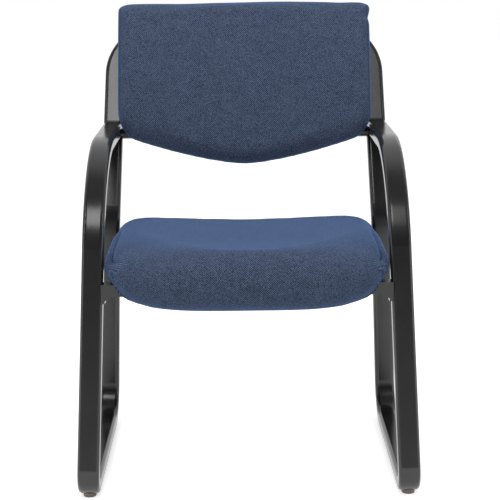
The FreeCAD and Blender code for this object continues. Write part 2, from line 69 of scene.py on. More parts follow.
# Height of the foremost line of the nose, and its fullness in the middle and towards the sides
NOSE_HEIGHT = 0.005
NOSE_FULLNESS = 1.85
NOSE_FULLNESS_GAIN = 0.65
# Rise of the nose's lower edge towards the corners
CORNER_LIFT = 0.045
CORNER_LIFT_POWER = 4.8
# Way from the front to the crest where the nose meets the top, and the power of its sweep
CREST_SETBACK = 0.045
CREST_POWER = 2.4
# Places of the lip and of the heel behind it, and how far both draw back at the corners
LIP_PLACE = -0.022
LIP_SWEEP = 0.060
HEEL_PLACE = 0.020
HEEL_SWEEP = 0.030
REAR_TOP_RADIUS = 0.022
REAR_BASE_RADIUS = 0.008
# Points along each stretch of the seat's profile, and profiles in the flat part of one half
SEAT_POINTS = {"lip": 14, "nose": 30, "top": 40, "rear_top": 8, "rear": 6, "rear_base": 5,
               "base": 36, "heel": 8}
SEAT_RINGS = 30

# Side seam of the seat: places between which it fades in and out, and heights where it fades in
SEAM_START = (-0.025, 0.010)
SEAM_END = (0.180, 0.300)
SEAM_FOOT = (0.010, 0.030)
# Widths of the seam's groove and of the rim outside it, and the rim's height and place as shares
# of the seam's depth and inset
GROOVE_WIDTH = 0.0042
RIM_WIDTH = 0.005
RIM_SHARE = 0.5
RIM_PLACE = 0.4
# Distance over which the painted shade along the seam fades
SEAM_SHADE_REACH = 0.010

# Gaps between the seat and its supports, under it and before them
BASE_GAP = 0.0003
LIP_GAP = 0.0015

# Where the weave turns down the sides: places from front to rear, and shares of the half width.
# Its arc round the nose has the radius given here.
WEAVE_TURN = (-0.02, 0.03)
WEAVE_SIDES = (0.5, 0.9)
NOSE_RADIUS = 0.055

# Backrest shape in metres: how far its faces and edges draw in at the sides
REAR_FACE_DRAW = 0.008
FRONT_FACE_DRAW = 0.026
LOW_EDGE_DRAW = 0.048
TOP_EDGE_DRAW = 0.009
# Points along each stretch of the back's profile, and profiles in the flat part of one half
BACK_POINTS = {"face": 40, "front_edge": 12, "rear_edge": 8}
BACK_RINGS = 26
# Humps as place, width and share of the full height: waves of the top edge, across the back, and
# folds of the corner, downwards from the top. The folds grow between the places of CORNER_SIDE.
EDGE_WAVES = ((0.075, 0.075, 1.0), (-0.125, 0.045, -0.8), (0.200, 0.020, -0.7))
CORNER_FOLDS = ((0.024, 0.010, 0.7), (0.048, 0.009, -1.0))
CORNER_SIDE = (0.225, 0.255)

# Cloth under the seat: its corner radius, its height over the supports, its thickness and its sag
DUST_CORNER = 0.030
DUST_HEIGHT = 0.0004
DUST_THICKNESS = 0.0006
DUST_SAG = 0.0025
# Width over which it sags from its sides and front, and the distances from its rear edge between
# which it comes up again before the rear support
DUST_HEM = 0.10
DUST_REAR = (0.18, 0.09)
# Rows of points round its corners and between them, and points in each row
DUST_CORNER_ROWS = 9
DUST_ROWS = 40
DUST_COLUMNS = 41

# Studio: half the floor's width, its colour, and its glow where it is seen or mirrored
FLOOR_REACH = 12.0
FLOOR_COLOUR = (0.86, 0.86, 0.86, 1.0)
FLOOR_GLOW = 0.62
WHITE = (1.0, 1.0, 1.0, 1.0)
# Brightness of the room before the chair, as multiples of dark_side, at heights from level, 0, to
# overhead, 1, and the rearward parts of a direction between which that front turns to white
FRONT_OF_ROOM = ((0.0, 3.4), (0.12, 3.0), (0.24, 0.5), (0.38, 0.9), (0.60, 2.4), (0.90, 1.6))
ROOM_TURN = (-0.15, 0.35)
# Soft boxes: place, target, and width and height
OVERHEAD_BOX = ((0.0, -0.1, 2.6), (0.0, 0.0, 0.4), (2.4, 2.4))
FRONT_BOX = ((-0.3, -2.3, 2.5), (0.0, -0.1, 0.5), (1.4, 0.9))
STRIP_BOXES = (((-2.3, -0.9, 1.0), (0.0, -0.1, 0.5), (0.5, 1.9)),
               ((2.3, -0.9, 1.0), (0.0, -0.1, 0.5), (0.5, 1.9)))
# Camera: its place, and its yaw, pitch down and roll in degrees
CAMERA_PLACE = (-0.0114, -2.888, 0.990)
CAMERA_TURN = (-0.37, 11.60, -0.51)
SENSOR_WIDTH = 36.0


class ChairFabricSettings(bpy.types.PropertyGroup):
    """Colours and scale of the woven upholstery."""
    yarn_light: FloatVectorProperty(
        name="Light Yarn", description="Colour of the yarns that lie on top of the crepe weave",
        subtype="COLOR", size=3, default=(0.094, 0.126, 0.204))
    yarn_dark: FloatVectorProperty(
        name="Dark Yarn", description="Colour down between the yarns",
        subtype="COLOR", size=3, default=(0.012, 0.017, 0.034))
    yarn_spacing: FloatProperty(
        name="Yarn Spacing", description="Distance between neighbouring yarns",
        unit="LENGTH", default=0.0021, min=0.0005, max=0.01)
    weave_relief: FloatProperty(
        name="Weave Relief", description="Height of the yarns",
        unit="LENGTH", default=0.0004, min=0.0, max=0.002)


class ChairSeatSettings(bpy.types.PropertyGroup):
    """Sizes of the seat cushion, as sewn and before it swells."""
    tilt: FloatProperty(
        name="Tilt", description="Backward slope of the seat", subtype="ANGLE",
        default=math.radians(2.5))
    thickness: FloatProperty(
        name="Thickness", description="Height of the cushion at its middle",
        unit="LENGTH", default=0.061)
    bolster: FloatProperty(
        name="Bolster", description="Extra height towards the two sides",
        unit="LENGTH", default=0.0085)
    dish: FloatProperty(
        name="Dish", description="Hollow of the seat from front to rear",
        unit="LENGTH", default=0.0035)
    nose_drop: FloatProperty(
        name="Nose Drop", description="How far the front lip hangs below the supports",
        unit="LENGTH", default=0.048)
    front_overhang: FloatProperty(
        name="Front Overhang", description="Reach of the nose before the front support's middle",
        unit="LENGTH", default=0.073)
    side_roll: FloatProperty(
        name="Side Roll", description="Width over which the top rounds down to the side",
        unit="LENGTH", default=0.056)
    crest_sweep: FloatProperty(
        name="Crest Sweep", description="How far the front crease draws back towards the sides",
        unit="LENGTH", default=0.300)
    depth: FloatProperty(
        name="Depth", description="Length of the cushion from front to rear",
        unit="LENGTH", default=0.470)
    front_corner: FloatProperty(
        name="Front Corner", description="How far the front corners draw back",
        unit="LENGTH", default=0.095)
    rear_corner: FloatProperty(
        name="Rear Corner", description="How far the rear corners draw in",
        unit="LENGTH", default=0.048)
    seam_inset: FloatProperty(
        name="Seam Inset", description="Distance of the side seam from the cushion's outline",
        unit="LENGTH", default=0.0115)
    seam_depth: FloatProperty(
        name="Seam Depth", description="Depth to which the side seam pulls the foam in",
        unit="LENGTH", default=0.0050)
    swell: FloatProperty(
        name="Swell", description="Furthest that the foam may push the cover out",
        unit="LENGTH", default=0.0025)


class ChairBackSettings(bpy.types.PropertyGroup):
    """Sizes of the backrest cushion, as sewn and before it swells."""
    recline: FloatProperty(
        name="Recline", description="Backward lean of the backrest", subtype="ANGLE",
        default=math.radians(20.8))
    thickness: FloatProperty(
        name="Thickness", description="Depth of the cushion at its middle",
        unit="LENGTH", default=0.050)
    rear_edge: FloatProperty(
        name="Rear Edge", description="Rounding of the rear edges",
        unit="LENGTH", default=0.016)
    crown: FloatProperty(
        name="Crown", description="Swell of the front face from bottom to top",
        unit="LENGTH", default=0.005)
    curve_radius: FloatProperty(
        name="Curve Radius", description="Radius of the curve round the sitter's back",
        unit="LENGTH", default=1.1)
    corner_rise: FloatProperty(
        name="Corner Rise", description="Rise of the lower edge from its middle to its corners",
        unit="LENGTH", default=0.057)
    curve_power: FloatProperty(
        name="Curve Power", description="Shape of the lower edge, from a vee at 1 to a bow at 2",
        default=1.45, min=1.0, max=3.0)
    side_roll: FloatProperty(
        name="Side Roll", description="Width over which the face rounds back at the sides",
        unit="LENGTH", default=0.034)
    seam_inset: FloatProperty(
        name="Seam Inset", description="Distance of the side seams from the cushion's sides",
        unit="LENGTH", default=0.005)
    edge_wave: FloatProperty(
        name="Edge Wave", description="Height of the waves that the sewn top edge makes",
        unit="LENGTH", default=0.0018)
    tuck: FloatProperty(
        name="Corner Tuck", description="Depth of the fold at the upper right corner",
        unit="LENGTH", default=0.0028)
    swell: FloatProperty(
        name="Swell", description="Furthest that the foam may push the cover out",
        unit="LENGTH", default=0.0020)


class ChairStageSettings(bpy.types.PropertyGroup):
    """Studio light and camera."""
    sky_light: FloatProperty(
        name="Sky Light", description="Strength of the even light from all round", default=0.55)
    top_light: FloatProperty(
        name="Top Light", description="Power of the soft box overhead", unit="POWER", default=34.0)
    front_light: FloatProperty(
        name="Front Light", description="Power of the soft box before the chair, up on a stand",
        unit="POWER", default=20.0)
    strip_light: FloatProperty(
        name="Strip Light", description="Power of each tall strip of light beside the chair",
        unit="POWER", default=8.0)
    dark_side: FloatProperty(
        name="Dark Side", description="Brightness of the room before the chair in reflections",
        default=0.20, min=0.0, max=1.0)
    focal_px: FloatProperty(
        name="Focal Length", description="Focal length in pixels of the 500 pixel photograph",
        default=1504.0)
    photo_px: IntProperty(
        name="Photograph Width", description="Width of the photograph in pixels", default=500)


def noise(nodes, links, coords, scale, detail=2.0, rough=0.5):
    """Noise texture on the given coordinates, its scale in cells per metre."""
    node = nodes.new("ShaderNodeTexNoise")
    node.inputs["Scale"].default_value = scale
    node.inputs["Detail"].default_value = detail
    node.inputs["Roughness"].default_value = rough
    links.new(coords, node.inputs["Vector"])
    return node


def ramp(nodes, links, value, stops):
    """Colour ramp over the given value, from (position, colour) stops."""
    node = nodes.new("ShaderNodeValToRGB")
    bar = node.color_ramp.elements
    while len(bar) < len(stops):
        bar.new(1.0)
    for element, (position, colour) in zip(bar, stops):
        element.position = position
        element.color = (*colour, 1.0)
    links.new(value, node.inputs["Fac"])
    return node


def level(nodes, links, value, low, high):
    """Maps a value from 0..1 to a range."""
    node = nodes.new("ShaderNodeMapRange")
    node.inputs["To Min"].default_value = low
    node.inputs["To Max"].default_value = high
    links.new(value, node.inputs["Value"])
    return node.outputs["Result"]


def blank_material(name):
    """New material with its node tree, shader and object coordinates."""
    material = bpy.data.materials.new(name)
    material.use_nodes = True
    tree = material.node_tree
    shader = tree.nodes["Principled BSDF"]
    coords = tree.nodes.new("ShaderNodeTexCoord").outputs["Object"]
    return material, tree.nodes, tree.links, shader, coords


def relief(nodes, links, shader, height, distance, strength):
    """Bump from a height value, with its real distance in metres."""
    bump = nodes.new("ShaderNodeBump")
    bump.inputs["Distance"].default_value = distance
    bump.inputs["Strength"].default_value = strength
    links.new(height, bump.inputs["Height"])
    links.new(bump.outputs["Normal"], shader.inputs["Normal"])


def maths(nodes, links, operation, *values):
    """Math node on values that are sockets or plain numbers."""
    node = nodes.new("ShaderNodeMath")
    node.operation = operation
    for place, value in zip(node.inputs, values):
        if isinstance(value, float):
            place.default_value = value
        else:
            links.new(value, place)
    return node.outputs[0]


def darkened(nodes, links, colour, layer, share):
    """Colour multiplied by another, by the given share."""
    mix = nodes.new("ShaderNodeMixRGB")
    mix.blend_type = "MULTIPLY"
    mix.inputs["Fac"].default_value = share
    links.new(colour, mix.inputs["Color1"])
    links.new(layer, mix.inputs["Color2"])
    return mix.outputs["Color"]


def powder_coat():
    """Semi-gloss black powder coat: fine orange peel, and tone and gloss in soft clouds."""
    material, nodes, links, shader, coords = blank_material("powder_coat_black")
    peel = noise(nodes, links, coords, scale=900.0)
    cloud = noise(nodes, links, coords, scale=14.0, detail=4.0, rough=0.6)
    tone = ramp(nodes, links, cloud.outputs["Fac"],
                [(0.3, (0.0055, 0.0055, 0.0065)), (0.75, (0.0095, 0.0095, 0.0110))])
    links.new(tone.outputs["Color"], shader.inputs["Base Color"])
    gloss = level(nodes, links, cloud.outputs["Fac"], low=0.14, high=0.24)
    links.new(gloss, shader.inputs["Roughness"])
    shader.inputs["Specular IOR Level"].default_value = 0.60
    relief(nodes, links, shader, peel.outputs["Fac"], distance=0.00012, strength=0.35)
    return material


def glide_nylon():
    """Warm grey nylon with fine speckle, darker over its lowest few millimetres towards the floor."""
    material, nodes, links, shader, coords = blank_material("glide_nylon")
    speckle = noise(nodes, links, coords, scale=1200.0, detail=3.0)
    split = nodes.new("ShaderNodeSeparateXYZ")
    links.new(coords, split.inputs["Vector"])
    height = nodes.new("ShaderNodeMapRange")
    height.inputs["From Max"].default_value = 0.005
    links.new(split.outputs["Z"], height.inputs["Value"])
    # Darker over the lowest 5 mm, towards the floor
    foot_tone = ramp(nodes, links, height.outputs["Result"],
                [(0.0, (0.028, 0.025, 0.022)), (0.45, (0.21, 0.18, 0.15)), (1.0, (0.30, 0.26, 0.22))])
    colour = darkened(nodes, links, foot_tone.outputs["Color"], speckle.outputs["Fac"], share=0.5)
    links.new(colour, shader.inputs["Base Color"])
    shader.inputs["Roughness"].default_value = 0.55
    relief(nodes, links, shader, speckle.outputs["Fac"], distance=0.0002, strength=0.3)
    return material


def zinc_steel():
    """Bright zinc plate with cloudy passivation."""
    material, nodes, links, shader, coords = blank_material("zinc_steel")
    cloud = noise(nodes, links, coords, scale=320.0, detail=4.0, rough=0.65)
    tone = ramp(nodes, links, cloud.outputs["Fac"],
                [(0.3, (0.42, 0.43, 0.45)), (0.7, (0.68, 0.69, 0.70))])
    links.new(tone.outputs["Color"], shader.inputs["Base Color"])
    gloss = level(nodes, links, cloud.outputs["Fac"], low=0.25, high=0.5)
    links.new(gloss, shader.inputs["Roughness"])
    shader.inputs["Metallic"].default_value = 1.0
    relief(nodes, links, shader, cloud.outputs["Fac"], distance=0.0001, strength=0.25)
    return material


def plywood():
    """Beech plywood, its grain drawn out along the width."""
    material, nodes, links, shader, coords = blank_material("seat_plywood")
    stretch = nodes.new("ShaderNodeMapping")
    stretch.inputs["Scale"].default_value = (0.08, 1.0, 1.0)
    links.new(coords, stretch.inputs["Vector"])
    grain = noise(nodes, links, stretch.outputs["Vector"], scale=240.0, detail=5.0, rough=0.6)
    tone = ramp(nodes, links, grain.outputs["Fac"],
                [(0.3, (0.30, 0.19, 0.10)), (0.7, (0.56, 0.40, 0.24))])
    links.new(tone.outputs["Color"], shader.inputs["Base Color"])
    shader.inputs["Roughness"].default_value = 0.65
    relief(nodes, links, shader, grain.outputs["Fac"], distance=0.0002, strength=0.4)
    return material


def yarn_waves(nodes, links, place, jitter, spacing, wander):
    """Plain weave: the sine of the way across times the sine of the way along, each a half turn
    per yarn and shifted by the jitter, so that yarns pass over and under in an uneven check."""
    split, shift = nodes.new("ShaderNodeSeparateXYZ"), nodes.new("ShaderNodeSeparateXYZ")
    links.new(place, split.inputs["Vector"])
    links.new(jitter, shift.inputs["Vector"])
    waves = []
    for axis in ("X", "Y"):
        wobble = maths(nodes, links, "MULTIPLY", shift.outputs[axis], wander)
        turn = maths(nodes, links, "MULTIPLY_ADD", split.outputs[axis], math.pi / spacing, wobble)
        waves.append(maths(nodes, links, "SINE", turn))
    half = maths(nodes, links, "MULTIPLY", waves[0], 0.5)
    return maths(nodes, links, "MULTIPLY_ADD", half, waves[1], 0.5)


def upholstery(fabric):
    """Crepe weave: uneven yarns passing over and under each other, with flecks and soft drift, and
    painted shade darkening the seam grooves.
    """
    nodes, links, shader, coords = blank_material("crepe_fabric_blue")[1:]
    place = nodes.new("ShaderNodeUVMap")
    place.uv_map = "weave"
    jitter = noise(nodes, links, coords, scale=0.22 / fabric.yarn_spacing, rough=0.6)
    woven = yarn_waves(nodes, links, place.outputs["UV"], jitter.outputs["Color"],
                       fabric.yarn_spacing, wander=5.0)
    drift = noise(nodes, links, coords, scale=45.0, detail=5.0, rough=0.75)
    fleck = noise(nodes, links, coords, scale=1.1 / fabric.yarn_spacing, detail=1.0)
    yarn = ramp(nodes, links, woven, [(0.12, fabric.yarn_dark), (0.70, fabric.yarn_light)])
    shade = ramp(nodes, links, fleck.outputs["Fac"],
                 [(0.36, (0.42, 0.43, 0.46)), (0.64, (1.12, 1.12, 1.10))])
    tint = ramp(nodes, links, drift.outputs["Fac"],
                [(0.35, (0.86, 0.87, 0.89)), (0.65, (1.08, 1.08, 1.07))])
    # Painted shade: the seam attribute darkens the colour along the seam grooves, where their crease
    # lies in shade
    seam = nodes.new("ShaderNodeAttribute")
    seam.attribute_name = "seam"
    seam_shade = ramp(nodes, links, seam.outputs["Fac"],
                    [(0.05, (0.42, 0.42, 0.45)), (0.26, (1.0, 1.0, 1.0))])
    colour = yarn.outputs["Color"]
    for layer in (shade, tint, seam_shade):
        colour = darkened(nodes, links, colour, layer.outputs["Color"], share=1.0)
    links.new(colour, shader.inputs["Base Color"])
    shader.inputs["Roughness"].default_value = 0.88
    shader.inputs["Specular IOR Level"].default_value = 0.12
    shader.inputs["Sheen Weight"].default_value = 0.52
    shader.inputs["Sheen Roughness"].default_value = 0.40
    shader.inputs["Sheen Tint"].default_value = (0.21, 0.42, 0.95, 1.0)
    relief(nodes, links, shader, woven, fabric.weave_relief, strength=0.8)


def dust_cloth():
    """Black non-woven cloth with pressed dimples and loose fibres."""
    material, nodes, links, shader, coords = blank_material("dust_cloth_black")
    fibre = noise(nodes, links, coords, scale=700.0, detail=5.0, rough=0.7)
    dimple = nodes.new("ShaderNodeTexVoronoi")
    dimple.inputs["Scale"].default_value = 420.0
    links.new(coords, dimple.inputs["Vector"])
    tone = ramp(nodes, links, fibre.outputs["Fac"],
                [(0.35, (0.010, 0.010, 0.011)), (0.7, (0.030, 0.030, 0.032))])
    links.new(tone.outputs["Color"], shader.inputs["Base Color"])
    shader.inputs["Roughness"].default_value = 0.92
    relief(nodes, links, shader, dimple.outputs["Distance"], distance=0.0004, strength=0.6)
    return material


def paint_seam_shade(piece, distance):
    """Attribute for the painted shade of the seam groove: 0 on the seam, rising to 1 at its reach from
    it.
    """
    seam = piece.data.attributes.new("seam", "FLOAT", "POINT")
    seam.data.foreach_set("value", np.clip(np.abs(distance) / SEAM_SHADE_REACH, 0.0, 1.0))


def lay_weave(piece, across, along):
    """UV map in metres that the weave follows: across the cushion, and along its profile."""
    loops = np.empty(len(piece.data.loops), np.int32)
    piece.data.loops.foreach_get("vertex_index", loops)
    layer = piece.data.uv_layers.new(name="weave")
    layer.data.foreach_set("uv", np.stack([across[loops], along[loops]], axis=-1).ravel())


def assign(piece, material):
    piece.data.materials.clear()
    piece.data.materials.append(material)


def new_piece(name, vertices, faces):
    """Object with a mesh of its own, at the origin."""
    mesh = bpy.data.meshes.new(name)
    mesh.from_pydata(vertices.tolist(), [], faces)
    mesh.update()
    piece = bpy.data.objects.new(name, mesh)
    bpy.context.scene.collection.objects.link(piece)
    return piece


def ring_piece(name, points):
    """Closed piece from a grid of points: rings along the first axis, each closed round the second.
    Each end is closed by triangles to the mean point of its ring."""
    rings, around = points.shape[:2]
    index = np.arange(rings * around).reshape(rings, around)
    after = np.roll(index, -1, axis=1)
    quads = np.stack([index[:-1], after[:-1], after[1:], index[1:]], axis=-1).reshape(-1, 4)
    start, end = rings * around, rings * around + 1
    vertices = np.vstack([points.reshape(-1, 3), points[0].mean(axis=0), points[-1].mean(axis=0)])
    first = np.stack([after[0], index[0], np.full(around, start)], axis=-1)
    last = np.stack([index[-1], after[-1], np.full(around, end)], axis=-1)
    return new_piece(name, vertices, quads.tolist() + first.tolist() + last.tolist())


def outward(piece):
    """Turns every face outwards, by the sign of the volume that the faces enclose."""
    co = vertex_array(piece)
    piece.data.calc_loop_triangles()
    tris = np.empty(len(piece.data.loop_triangles) * 3, np.int32)
    piece.data.loop_triangles.foreach_get("vertices", tris)
    a, b, c = (co[tris.reshape(-1, 3)[:, i]] for i in range(3))
    if np.einsum("ij,ij->i", a, np.cross(b, c)).sum() < 0:
        piece.data.flip_normals()


def vertex_array(piece):
    """Vertex positions of a piece as rows of x, y, z."""
    co = np.empty(len(piece.data.vertices) * 3)
    piece.data.vertices.foreach_get("co", co)
    return co.reshape(-1, 3)


def set_vertices(piece, co):
    piece.data.vertices.foreach_set("co", co.ravel())
    piece.data.update()


def vertex_normals(piece):
    """Vertex normals of a piece as rows of x, y, z."""
    normals = np.empty(len(piece.data.vertices) * 3)
    piece.data.vertices.foreach_get("normal", normals)
    return normals.reshape(-1, 3)


def side_roll(x, half, width):
    """Circular rounding share: 0 inside, rising to 1 over the last width before half."""
    into = np.clip((np.abs(x) - (half - width)) / width, 0.0, 1.0)
    return 1.0 - np.sqrt(1.0 - into ** 2)


def bend_between(start, end, centre, count, fullness=2.0):
    """Quarter of a superellipse from start to end about centre, pairs of arrays over the rings.
    A fullness of 2 is an ellipse, less is flatter with a crease at its ends, more is fuller."""
    turn = np.linspace(0.0, math.pi / 2, count, endpoint=False)[None, :]
    power = 2.0 / np.reshape(fullness, (-1, 1))
    first = [(s - c)[:, None] for s, c in zip(start, centre)]
    second = [(e - c)[:, None] for e, c in zip(end, centre)]
    return [c[:, None] + f * np.cos(turn) ** power + s * np.sin(turn) ** power
            for c, f, s in zip(centre, first, second)]


def straight(start, end, count, bow=0.0):
    """Straight run from start to end, its second value bowed by a parabola."""
    share = np.linspace(0.0, 1.0, count, endpoint=False)[None, :]
    run = [s[:, None] + (e - s)[:, None] * share for s, e in zip(start, end)]
    run[1] = run[1] + np.reshape(bow, (-1, 1)) * 4.0 * share * (1.0 - share)
    return run


def smooth_step(value, low, high):
    """Rises smoothly from 0 at low to 1 at high."""
    share = np.clip((value - low) / (high - low), 0.0, 1.0)
    return share ** 2 * (3.0 - 2.0 * share)


def humps(value, shapes):
    """Sum of Gaussian humps, each given by its place, width and height."""
    return sum(height * np.exp(-((value - place) / width) ** 2) for place, width, height in shapes)


def ring_places(half, roll, count):
    """Places across a cushion: even in its flat middle, by a sine where the sides round off."""
    flat = np.linspace(0.0, half - roll, count, endpoint=False)
    turn = np.linspace(0.0, math.pi / 2, count // 2)
    side = np.concatenate([flat, half - roll + roll * np.sin(turn)])
    return np.concatenate([-side[:0:-1], side])


def swell(piece, cap, voxel=0.006, pressure=4.0, stiffness=18.0, steps=12, inward=0.2):
    """Voxel remesh, then blow the cover out against its own cloth. Each point keeps only its move
    along its own normal, no further than cap outwards and a share of it inwards, so the cushion
    holds its cut. Smoothing and one subdivision finish it."""
    remesh = piece.modifiers.new("remesh", "REMESH")
    remesh.mode = "VOXEL"
    remesh.voxel_size = voxel
    apply_modifiers(piece)
    before, normals = vertex_array(piece), vertex_normals(piece)
    cloth = piece.modifiers.new("cloth", "CLOTH")
    cloth.settings.use_pressure = True
    cloth.settings.uniform_pressure_force = pressure
    cloth.settings.effector_weights.gravity = 0.0
    cloth.settings.tension_stiffness = stiffness
    cloth.settings.compression_stiffness = stiffness
    cloth.point_cache.frame_end = steps
    for step in range(1, steps + 1):
        bpy.context.scene.frame_set(step)
    apply_modifiers(piece)
    bpy.context.scene.frame_set(1)
    out = np.einsum("ij,ij->i", vertex_array(piece) - before, normals)
    set_vertices(piece, before + normals * np.clip(out, -inward * cap, cap)[:, None])
    smooth = piece.modifiers.new("smooth", "SMOOTH")
    smooth.factor = 0.5
    smooth.iterations = 3
    finish_round = piece.modifiers.new("subdivide", "SUBSURF")
    finish_round.levels = 1
    finish_round.render_levels = 1
    apply_modifiers(piece)


def apply_modifiers(piece):
    """Makes the evaluated mesh the piece's own and removes its modifiers."""
    bpy.context.view_layer.update()
    depsgraph = bpy.context.evaluated_depsgraph_get()
    mesh = bpy.data.meshes.new_from_object(piece.evaluated_get(depsgraph))
    old = piece.data
    piece.modifiers.clear()
    piece.data = mesh
    bpy.data.meshes.remove(old)


def shade_smooth(piece):
    piece.data.shade_smooth()


def seat_axes(seat):
    """Origin and axes of the seat: a runs rearwards from the front support, h is up."""
    origin = np.array([0.0, (SUPPORT_LOW.y + SUPPORT_HIGH.y) / 2, SUPPORT_HIGH.z])
    origin[2] -= (SUPPORT_HIGH.y - SUPPORT_LOW.y) / 2 * math.sin(seat.tilt)
    along = np.array([0.0, math.cos(seat.tilt), -math.sin(seat.tilt)])
    up = np.array([0.0, math.sin(seat.tilt), math.cos(seat.tilt)])
    return origin, along, up


def seat_outline(e):
    """Share by which the seat's corners draw back: zero in the middle, one at the sides."""
    return 1.0 - np.sqrt(np.clip(1.0 - e ** PLAN_POWER, 0.0, 1.0))


def seat_half_width(seat, half, a):
    """Half width of the seat's outline, seen from above, at places from front to rear."""
    front = np.clip((a + seat.front_overhang) / seat.front_corner, 0.0, 1.0)
    rear = np.clip((seat.depth - seat.front_overhang - a) / seat.rear_corner, 0.0, 1.0)
    return half * (1.0 - (1.0 - np.minimum(front, rear)) ** 2) ** (1.0 / PLAN_POWER)


def seat_grid(seat, half):
    """Side profiles of the seat across its width. Each goes round the nose, over the dished top,
    down the rear and back along the flat underside to the lip. The crest where the nose meets the
    top draws back with a power of the distance from the middle, so the dish is a crescent."""
    x = ring_places(half, seat.side_roll, SEAT_RINGS)
    e = np.abs(x) / half
    roll = side_roll(x, half, seat.side_roll)
    plan = seat_outline(e)
    top = seat.thickness + seat.bolster * smooth_step(e, 0.0, 1.0)
    top = top - (seat.thickness + seat.bolster - SIDE_TOP) * roll
    base = SIDE_BASE * side_roll(x, half, BASE_ROLL)
    middle = NOSE_HEIGHT + ((SIDE_TOP + SIDE_BASE) / 2 - NOSE_HEIGHT) * roll
    low = -seat.nose_drop + CORNER_LIFT * e ** CORNER_LIFT_POWER
    low = low + (seat.nose_drop + SIDE_BASE - CORNER_LIFT) * roll
    front = -seat.front_overhang + seat.front_corner * plan
    rear = seat.depth - seat.front_overhang - seat.rear_corner * plan
    crest = CREST_SETBACK - seat.front_overhang + seat.crest_sweep * e ** CREST_POWER
    lip = LIP_PLACE + LIP_SWEEP * plan
    heel = HEEL_PLACE + HEEL_SWEEP * plan
    share = (top - base) / seat.thickness
    top_radius, base_radius = REAR_TOP_RADIUS * share, REAR_BASE_RADIUS * share
    dish = seat.dish * (rear - crest) / seat.depth
    fullness = NOSE_FULLNESS + NOSE_FULLNESS_GAIN * e
    count = SEAT_POINTS
    return joined(x, [
        bend_between((lip, low), (front, middle), (lip, middle), count["lip"]),
        bend_between((front, middle), (crest, top), (crest, middle), count["nose"], fullness),
        straight((crest, top), (rear - top_radius, top), count["top"], -dish),
        bend_between((rear - top_radius, top), (rear, top - top_radius),
                     (rear - top_radius, top - top_radius), count["rear_top"]),
        straight((rear, top - top_radius), (rear, base + base_radius), count["rear"]),
        bend_between((rear, base + base_radius), (rear - base_radius, base),
                     (rear - base_radius, base + base_radius), count["rear_base"]),
        straight((rear - base_radius, base), (heel, base), count["base"]),
        straight((heel, base), (lip, low), count["heel"]),
    ])


def joined(x, stretches):
    """Grids of the places across and of both values of the stretches, one after the other."""
    first, second = (np.concatenate([stretch[i] for stretch in stretches], axis=1) for i in range(2))
    return np.broadcast_to(x[:, None], first.shape), first, second


def to_world(origin, axis_a, axis_b, x, a, b):
    """Points at x across, a along the first axis and b along the second."""
    return (origin + x[..., None] * np.array([1.0, 0.0, 0.0])
            + a[..., None] * axis_a + b[..., None] * axis_b)


def seat_inwards(seat, half, across, a):
    """Distance inwards from the seat's outline, seen from above."""
    step = 0.001
    slope = (seat_half_width(seat, half, a + step) - seat_half_width(seat, half, a - step)) / (2 * step)
    return (seat_half_width(seat, half, a) - across) / np.sqrt(1.0 + slope ** 2)


def sew_seat_sides(piece, seat, half):
    """Pulls a seam in along the seat's outline and lets the rim outside it stand up.
    Pull and rim are Gaussians of the distance inwards from the outline, seen from above. They fade
    out at the nose, where one panel runs on from the top to the front, and at the rear."""
    origin, along, up = seat_axes(seat)
    co, normals = vertex_array(piece), vertex_normals(piece)
    local = co - origin
    across, a, h = np.abs(local[:, 0]), local @ along, local @ up
    inwards = seat_inwards(seat, half, across, a)
    sewn = smooth_step(a, *SEAM_START) * smooth_step(h, *SEAM_FOOT)
    sewn = sewn * (1.0 - smooth_step(a, *SEAM_END))
    shape = humps(inwards, ((RIM_PLACE * seat.seam_inset, RIM_WIDTH, RIM_SHARE),
                            (seat.seam_inset, GROOVE_WIDTH, -1.0)))
    set_vertices(piece, co + normals * (seat.seam_depth * shape * sewn)[:, None])
    # Painted shade: marks the seam groove, along which the fabric's colour is darkened
    paint_seam_shade(piece, np.abs(inwards - seat.seam_inset) + SEAM_SHADE_REACH * (1.0 - sewn))


def round_the_side(x, drop, half):
    """Way across a cushion's cover, carried on down its sides by the drop below its face."""
    return x + np.sign(x) * drop * smooth_step(np.abs(x) / half, *WEAVE_SIDES)


def seat_profile_length(a, h):
    """Length along the seat's side profile: an arc round the nose's centre before it, and straight
    on from there along the top, and the other way along the underside."""
    arc = NOSE_RADIUS * np.arctan2(h - NOSE_HEIGHT, LIP_PLACE - a)
    run = np.sign(h - NOSE_HEIGHT) * (NOSE_RADIUS * math.pi / 2 + a - LIP_PLACE)
    return np.where(a < LIP_PLACE, arc, run)


def flatten_seat_base(piece, seat):
    """Presses the seat flat where it lies on its supports, and the lip forward to stay in front of
    them: a point inside their space leaves it by the shorter of the two ways."""
    origin, along, up = seat_axes(seat)
    co = vertex_array(piece)
    local = co - origin
    a, h = local @ along, local @ up
    lip_rear = -(SUPPORT_HIGH.y - SUPPORT_LOW.y) / 2 - LIP_GAP
    below, behind = BASE_GAP - h, a - lip_rear
    inside = (behind > 0.0) & (below > 0.0)
    forward = np.where(inside & (behind < below), -behind, 0.0)
    lift = np.where(inside & (behind >= below), below, 0.0)
    set_vertices(piece, co + forward[:, None] * along + lift[:, None] * up)


def back_axes(back):
    """Origin and axes of the backrest: v runs up the reclined straps, n towards the sitter."""
    up = np.array([0.0, math.sin(back.recline), math.cos(back.recline)])
    towards = np.array([0.0, -math.cos(back.recline), math.sin(back.recline)])
    rear = np.array([0.0, STRAP_HIGH.y, STRAP_HIGH.z])
    return rear, up, towards


def back_bow(back, x):
    """How far the backrest comes forward at x, along a circle round the sitter."""
    return back.curve_radius - np.sqrt(back.curve_radius ** 2 - x ** 2)


def fold_back_corner(piece, back, origin, up):
    """Folds the cover in at the upper corner of one side: a small bump with a pinch under it."""
    co, normals = vertex_array(piece), vertex_normals(piece)
    height = (co - origin) @ up
    side = smooth_step(co[:, 0], *CORNER_SIDE)
    fold = back.tuck * humps(height.max() - height, CORNER_FOLDS) * side
    set_vertices(piece, co + normals * fold[:, None])


